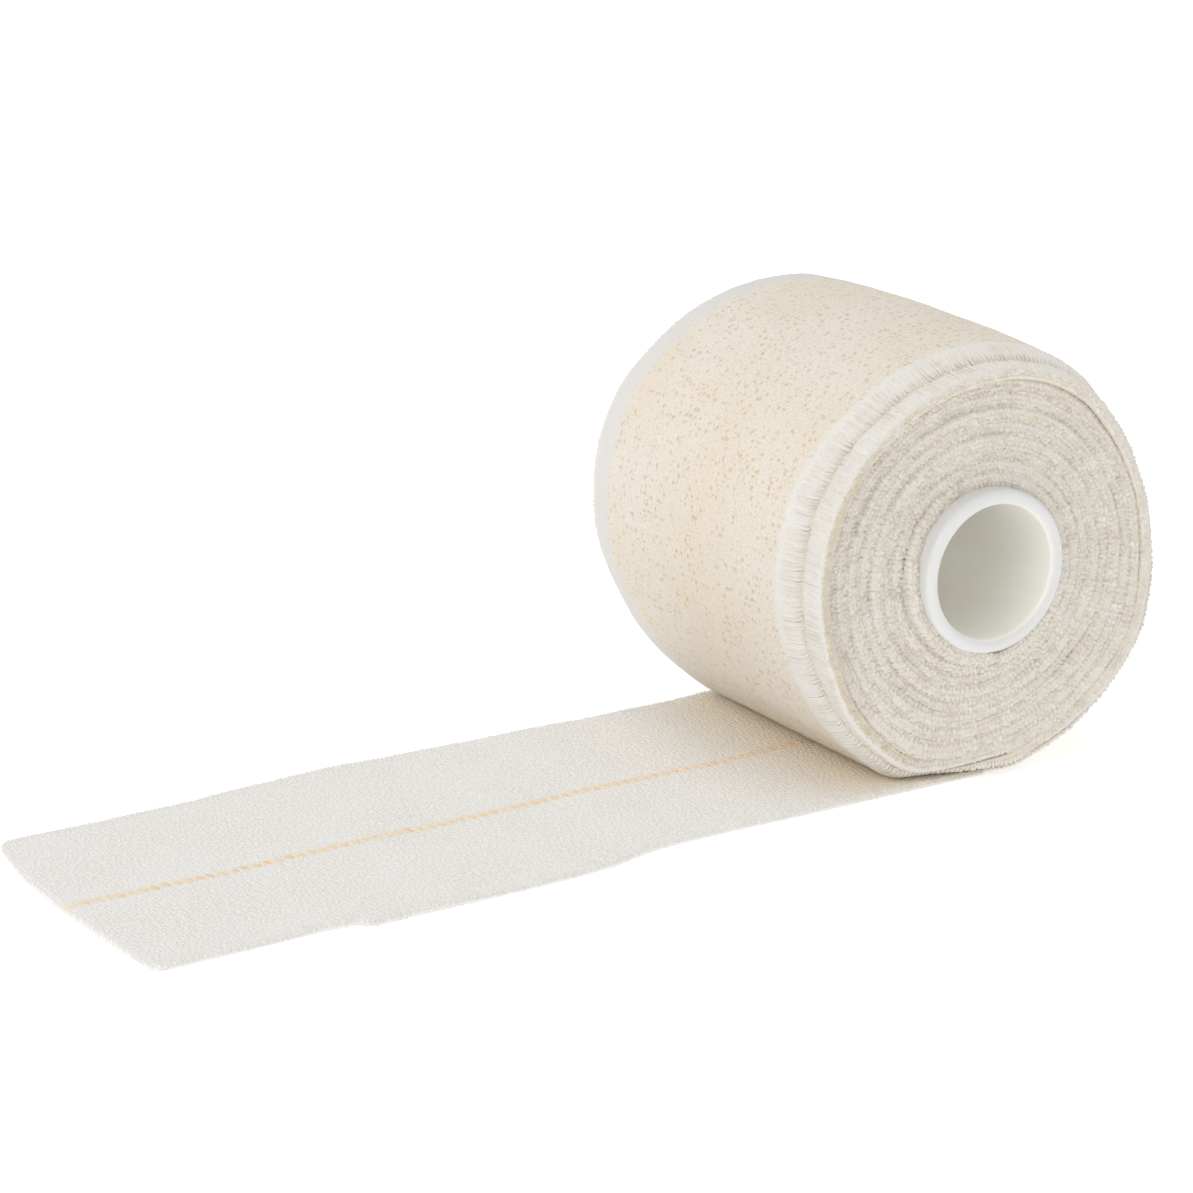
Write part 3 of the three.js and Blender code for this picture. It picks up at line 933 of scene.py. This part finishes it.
# Chains along the edge, a row for each: height and distance in as above, radius, tint
# The rim's chain is tinted tan as painted shade on the rim's shoulder
RIM_CHAIN = ((-0.42, 0.26, 0.5, 0.32), (-0.62, 0.26, 0.5, 0.32), (-0.82, 0.26, 0.5, 0.32))
STEP_CHAIN = ((-0.04, 0.3, 0.46, 0.35), (-0.2, 0.2, 0.46, 0.35))
FACE_CHAIN = ((-0.36, 0.22, 0.5, 0.12), (-0.68, 0.22, 0.5, 0.15), (-1.02, 0.28, 0.62, 0.36))
# Where on the path the rim's threads start, and where the chains inside the rim start and end
RIM_FROM = OUTER_TO - 10
STEP_CHAIN_SPAN = (RIM_TO - 5, RIM_TO + 340)
FACE_CHAIN_SPAN = (RIM_TO - 40, WOUND_TO - 6)
# Directions: the middle, half the range, and the range over which it fades
SUNK_SIDE = (0.0, 60.0, 30.0)
# The side where the rim's chain gets its deepest painted shade
SHADED_SIDE = (195.0, 35.0, 35.0)
# What differs from stitch to stitch
SPACING_SPREAD = 0.08
SIZE_SPREAD = 0.05
HEIGHT_SPREAD = 0.03
JITTER_WITHIN = 0.6
LEAN_SPREAD = 0.12
TWIST_SPREAD = 0.14
THICKNESS_SPREAD = 0.1
UNEVEN = 0.12
TINT_SPREAD = 0.07
TINT_UNEVEN = 0.04
TINT_PATCHES = 0.07
TINT_WAVES = ((1.0, 31.0, 0.5), (0.8, 11.3, 2.0))
# Thread is thinner where the room for a wrap is less than FULL_ROOM
FULL_ROOM = 1.8
THINNEST = 0.08
CHAIN_SPREAD = 0.08
CHAIN_TINTS = 0.1
CHAIN_THICKNESS = (0.7, 1.4)


def on_side(turned, middle, half, fade):
    """1 within `half` degrees of a direction, falling to 0 over `fade` degrees more."""
    off = np.abs(np.mod(turned - 90 - middle + 180, 360) - 180)
    return 1 - smooth((off - half) / fade)


def thread_piece(name, paths, sideways, radii, tint, sides=SIDES, material=THREAD, replaces=None):
    """Threads along paths, each of their points with its own radius and tint."""
    points, faces = tubes(paths, sideways, radii, sides)
    tint = np.repeat(tint.reshape(-1), sides)
    return new_piece(name, points, faces, material, {"tint": tint}, replaces)


def stitch_row(
    name, first, last, loop, edge, inward, radius, jitter, lean, apart=0.0, tan=0.1, sunk=0.0,
):
    """Loops of thread round one edge of the wound strip. `sunk` lowers them on the roll's right."""
    lengths = np.arange(length_at(first) + PITCH / 2, length_at(last), PITCH)
    n, k = len(lengths), len(loop)
    lengths = lengths + rng.normal(0, SPACING_SPREAD, n)
    turned = turned_at(lengths)
    room = pitch_at(turned)[:, None]
    size = 1 + rng.normal(0, SIZE_SPREAD, n)
    push = rng.normal(0, jitter, n)
    middle = loop[:, 0].mean()
    above = (middle + (loop[:, 0] - middle) * size[:, None]) * room
    above = above + rng.normal(0, HEIGHT_SPREAD, (n, k))
    above = above - sunk * on_side(turned, *SUNK_SIDE)[:, None] * room
    inside = loop[:, 1] * size[:, None] + push[:, None]
    inside = inside + rng.normal(0, jitter * JITTER_WITHIN, (n, k))
    sag = rng.normal(lean, LEAN_SPREAD, n)[:, None] * np.sin(np.linspace(0, np.pi, k))
    shift = sag + TWIST_SPREAD * rng.normal(0, 1, n)[:, None] * np.linspace(-1, 1, k)
    legs = rng.normal(0, apart, (n, 2))
    shift = shift + legs[:, :1] + (legs[:, 1:] - legs[:, :1]) * smooth(np.linspace(-0.5, 1.5, k))
    place = turned_at(lengths[:, None] + shift)
    along = edge(turned)[:, None] + inward * inside
    above = above - edge_drop(place, np.maximum(inside, 0))
    thick = loop[:, 2] * (1 + rng.normal(0, THICKNESS_SPREAD, n))[:, None]
    thick = thick * (1 + UNEVEN * rng.normal(0, 1, (n, k)))
    radii = np.maximum(radius * thick * np.minimum(1, room / FULL_ROOM), THINNEST)
    tint = tan + TINT_PATCHES * waves(lengths, TINT_WAVES)[:, None]
    tint = tint + rng.normal(0, TINT_SPREAD, (n, 1)) + rng.normal(0, TINT_UNEVEN, (n, k))
    tint = np.clip(tint, 0, 1)
    sideways = lengthwise(turned)[:, None, :]
    paths = on_roll(place, along, above)
    thread_piece(name, paths, sideways, radii, tint, replaces="bandage")


def edge_chain(name, first, last, edge, inward, chain, sides=SIDES, beads=0.3, left_shade=0.0):
    """Threads that lie along an edge of the wound strip. `left_shade` deepens their tint on the roll's
    left, as painted shade.
    """
    heights, inside, radius, tan = np.array(chain).T[:, :, None]
    lengths = np.arange(length_at(first), length_at(last), PITCH / 2)
    turned = turned_at(lengths)
    n, rows = len(lengths), len(chain)
    height = heights * pitch_at(turned) + rng.normal(0, CHAIN_SPREAD, (rows, n))
    height = height - edge_drop(turned, 0.0)
    inside = inside + rng.normal(0, CHAIN_SPREAD, (rows, n))
    paths = on_roll(turned + 0 * height, edge(turned) + inward * inside, height)
    odd = (np.arange(n) + np.arange(rows)[:, None]) % 2
    beaded = 1 + beads * np.where(odd, 1, -1)
    radii = radius * beaded * (1 + UNEVEN * rng.normal(0, 1, (rows, n))).clip(*CHAIN_THICKNESS)
    tint = tan + left_shade * on_side(turned, *SHADED_SIDE)
    tint = np.clip(tint + rng.normal(0, CHAIN_TINTS, (rows, n)), 0, 1)
    thread_piece(name, paths, ALONG_Y, radii, tint, sides, replaces="bandage")


def selvedge(end, edge, inward, outermost_loop):
    """All the threads on one end of the roll, from the outermost wrap to the innermost."""
    stitch_row(
        f"{end}_outermost_stitches", WOUND_FROM, RIM_FROM, outermost_loop, edge, inward,
        radius=0.27, jitter=0.07, lean=0.3, sunk=0.05,
    )
    stitch_row(
        f"{end}_rim_stitches", RIM_FROM, RIM_TO, RIM_LOOP, edge, inward,
        radius=0.3, jitter=0.05, lean=0.3,
    )
    # The rim's chain: painted shade on the rim's shoulder, deepest on the roll's left
    edge_chain(
        f"{end}_rim_chain", RIM_FROM, RIM_TO, edge, inward, RIM_CHAIN,
        sides=6, beads=0.16, left_shade=0.45,
    )
    # The face's loops get a deeper tint than the rims': partly the adhesive's tan, partly painted shade of
    # the end face, which is turned from the light, and of its deep loops
    stitch_row(
        f"{end}_face_loops", RIM_TO, WOUND_TO, FACE_LOOP, edge, inward,
        radius=0.47, jitter=0.1, lean=0.0, apart=0.22, tan=0.28,
    )
    edge_chain(f"{end}_step_chain", *STEP_CHAIN_SPAN, edge, inward, STEP_CHAIN)
    edge_chain(f"{end}_face_chain", *FACE_CHAIN_SPAN, edge, inward, FACE_CHAIN)


selvedge("near", near_edge, 1.0, OUTERMOST_LOOP)
selvedge("far", far_edge, -1.0, OUTERMOST_LOOP - FAR_SUNK)

# The loose end's stitches: height and distance in from the edge, upper leg first
TAIL_LOOP = np.array([
    (0.84, 3.3), (1.0, 2.3), (1.04, 1.2), (0.96, 0.5), (0.6, 0.16), (0.26, 0.4), (0.22, 1.4),
])
TAIL_STITCH_RADIUS = 0.22
TAIL_STITCHES_FROM = 0.4
NEAR_STITCHES_SHORT = 2.5
FAR_STITCHES_SHORT = 5.5
TAIL_SIZE_SPREAD = 0.15
TAIL_PUSH_SPREAD = 0.06
TAIL_LEAN = 0.25
TAIL_LEAN_SPREAD = 0.15
TAIL_TINT = 0.1
TAIL_TINT_SPREAD = 0.1


def tail_stitches(name, side, short):
    """Stitches along an edge of the loose end, near for side -1 and far for 1."""
    distances = np.arange(-TAIL_UNDER_ROLL + TAIL_STITCHES_FROM, TAIL_REACH - short, PITCH)
    n, k = len(distances), len(TAIL_LOOP)
    distances = distances + rng.normal(0, SPACING_SPREAD, n)
    near, far = tail_edges(distances)
    inside = TAIL_LOOP[:, 1] * (1 + rng.normal(0, TAIL_SIZE_SPREAD, n))[:, None]
    inside = inside + rng.normal(0, TAIL_PUSH_SPREAD, n)[:, None]
    y = (far[:, None] - inside) if side > 0 else (near[:, None] + inside)
    lean = rng.normal(TAIL_LEAN, TAIL_LEAN_SPREAD, n)[:, None] * np.linspace(1, -1, k)
    height = TAIL_LOOP[:, 0] + 0 * y
    height = height + np.where(height > WAVES_ABOVE, tail_wave(distances, side)[:, None], 0)
    paths = np.stack([-(distances[:, None] + lean), y, height], -1)
    radii = TAIL_STITCH_RADIUS * (1 + rng.normal(0, THICKNESS_SPREAD, (n, k)))
    tint = (TAIL_TINT + rng.normal(0, TAIL_TINT_SPREAD, n)[:, None] + 0 * y).clip(0, 1)
    return thread_piece(name, paths, ALONG_X, radii, tint, material=TAIL_THREADS)


# The guide thread: slanting stitches, rounded at both ends
GUIDE_FROM = 1
GUIDE_SHORT = 2.2
GUIDE_POINTS = 6
GUIDE_SIDES = 6
GUIDE_SPACING_SPREAD = 0.12
GUIDE_HALF_LENGTH = 0.6
GUIDE_HALF_WIDTH = 0.88
GUIDE_WIDTH_SPREAD = 0.07
GUIDE_LENGTH_SPREAD = 0.08
GUIDE_SIDE_SPREAD = 0.1
GUIDE_SLANT = 1.4
GUIDE_SUNK = 0.72
GUIDE_ENDS_SUNK = 0.15
GUIDE_ENDS_ROUND = 1.06
GUIDE_ENDS_LEAST = 0.05
GUIDE_DEEPEST = 0.7


def guide_line():
    distances = np.arange(-TAIL_UNDER_ROLL + GUIDE_FROM, TAIL_REACH - GUIDE_SHORT, GUIDE_PITCH)
    n = len(distances)
    distances = distances + rng.normal(0, GUIDE_SPACING_SPREAD, n)
    share = np.linspace(-1, 1, GUIDE_POINTS)
    half = (GUIDE_HALF_LENGTH + rng.normal(0, GUIDE_LENGTH_SPREAD, n))[:, None]
    middle = (guide_place(distances) + rng.normal(0, GUIDE_SIDE_SPREAD, n))[:, None]
    x = -(distances[:, None] + share * half)
    wide = GUIDE_HALF_WIDTH + GUIDE_WIDTH_SPREAD * rng.normal(0, 1, (n, GUIDE_POINTS))
    height = CLOTH - GUIDE_SUNK - GUIDE_ENDS_SUNK * share**2 + tail_wave(distances, 0)[:, None] + 0 * x
    paths = np.stack([x, middle + GUIDE_SLANT * share + 0 * x, height], -1)
    radii = wide * np.sqrt(np.clip(GUIDE_ENDS_ROUND - share**2, GUIDE_ENDS_LEAST, 1))
    tint = np.repeat(rng.uniform(0, GUIDE_DEEPEST, n), GUIDE_POINTS)
    return thread_piece("guide_thread", paths, ALONG_Y, radii, tint, GUIDE_SIDES, GUIDE_THREAD)


tail_pieces = [
    tail_stitches("near_tail_stitches", -1, NEAR_STITCHES_SHORT),
    tail_stitches("far_tail_stitches", 1, FAR_STITCHES_SHORT),
    guide_line(),
]

# The core tube
CORE_SIDES = 128
CORNER_STEPS = 8


def core_profile():
    """Section of the core's wall with rounded rims: distance from the axis, place along it."""
    outer, inner, r = CORE_OUTER_RADIUS, CORE_OUTER_RADIUS - CORE_WALL, CORE_RIM_RADIUS
    corners = (
        (outer - r, r, -90),
        (outer - r, CORE_LENGTH - r, 0),
        (inner + r, CORE_LENGTH - r, 90),
        (inner + r, r, 180),
    )
    profile = []
    for x, y, start in corners:
        for step in range(CORNER_STEPS + 1):
            angle = math.radians(start + 90 * step / CORNER_STEPS)
            profile.append((x + r * math.cos(angle), y + r * math.sin(angle)))
    return np.array(profile)


def core_tube():
    radius, along = core_profile().T[:, None, :]
    angle = (np.arange(CORE_SIDES) * 2 * np.pi / CORE_SIDES)[:, None]
    x = radius * np.cos(angle)
    y = CORE_NEAR_END + along + 0 * x
    z = CORE_HEIGHT + radius * np.sin(angle)
    points = np.stack([x, y, z], -1).reshape(-1, 3)
    columns = radius.shape[1]
    first = np.arange(CORE_SIDES)[:, None] * columns
    after = (np.arange(CORE_SIDES)[:, None] + 1) % CORE_SIDES * columns
    here = np.arange(columns)
    beside = (here + 1) % columns
    quads = np.stack([first + here, after + here, after + beside, first + beside], -1).reshape(-1, 4)
    new_piece("core_tube", points, [quads], PLASTIC, None, "core")


core_tube()

# Floor, lights and camera. Lights: name, place, target, size, power
FLOOR_HALF = 6.0
FLOOR_LEVEL = -0.0001
FLOOR_CORNERS = ((-1, -1), (1, -1), (1, 1), (-1, 1))
FLOOR_GREY = 0.93
FLOOR_ROUGHNESS = 0.9
FLOOR_SPECULAR = 0.1
FLOOR_GLOW = 0.36
WORLD_STRENGTH = 0.72
WHITE = (1, 1, 1, 1)
LIGHTS = (
    ("key", (-1.3, -0.4, 0.9), (0, 0, 0.02), 1.0, 4.3),
    ("top", (-0.2, 0.1, 1.7), (0, 0, 0), 1.0, 4.7),
    ("front", (-0.45, -1.5, 0.5), (0, 0, 0.03), 1.0, 1.32),
    ("back", (-0.4, 1.3, 0.26), (0, 0, 0.04), 0.5, 2.0),
)
CAMERA_PLACE = (-0.537784, -0.744875, 0.299091)
CAMERA_ANGLES = (-32.456, 16.617, 1.582)
CAMERA_LENS = 145.94
CAMERA_SENSOR = 36
CAMERA_SEES = (0.05, 40)


def floor_piece():
    mesh = bpy.data.meshes.new("floor")
    corners = [(x * FLOOR_HALF, y * FLOOR_HALF, FLOOR_LEVEL) for x, y in FLOOR_CORNERS]
    mesh.from_pydata(corners, [], [(0, 1, 2, 3)])
    nodes = Nodes("pale_floor")
    nodes.set_shader({
        "Base Color": (FLOOR_GREY, FLOOR_GREY, FLOOR_GREY, 1),
        "Roughness": FLOOR_ROUGHNESS,
        "Specular IOR Level": FLOOR_SPECULAR,
        "Emission Color": WHITE,
        "Emission Strength": FLOOR_GLOW,
    })
    mesh.materials.append(nodes.material)
    floor = bpy.data.objects.new("floor", mesh)
    bpy.context.scene.collection.objects.link(floor)


def put_in_scene(name, data, side, up, look, place):
    """A light or camera at a place, looking along a direction."""
    seen = bpy.data.objects.new(name, data)
    rows = [(side[i], up[i], -look[i], place[i]) for i in range(3)]
    seen.matrix_world = Matrix([*rows, (0, 0, 0, 1)])
    bpy.context.scene.collection.objects.link(seen)
    return seen


def area_light(name, place, target, size, power):
    data = bpy.data.lights.new(name, "AREA")
    data.shape = "DISK"
    data.size = size
    data.energy = power
    look = np.array(target, float) - np.array(place, float)
    look /= np.linalg.norm(look)
    side = np.cross(look, (0, 0, 1.0))
    side /= np.linalg.norm(side)
    put_in_scene(name, data, side, np.cross(side, look), look, place)


def camera():
    yaw, pitch, roll = (math.radians(angle) for angle in CAMERA_ANGLES)
    look = np.array([-math.sin(yaw) * math.cos(pitch), math.cos(yaw) * math.cos(pitch), -math.sin(pitch)])
    level = np.array([math.cos(yaw), math.sin(yaw), 0])
    above = np.cross(level, look)
    side = math.cos(roll) * level + math.sin(roll) * above
    up = -math.sin(roll) * level + math.cos(roll) * above
    data = bpy.data.cameras.new("camera")
    data.sensor_width = CAMERA_SENSOR
    data.lens = CAMERA_LENS
    data.clip_start, data.clip_end = CAMERA_SEES
    bpy.context.scene.camera = put_in_scene("camera", data, side, up, look, CAMERA_PLACE)


def studio_world():
    world = bpy.data.worlds.new("studio")
    world.use_nodes = True
    background = world.node_tree.nodes["Background"]
    background.inputs["Color"].default_value = WHITE
    background.inputs["Strength"].default_value = WORLD_STRENGTH
    bpy.context.scene.world = world


floor_piece()
studio_world()
for light in LIGHTS:
    area_light(*light)
camera()
bpy.context.scene.view_settings.view_transform = "Standard"
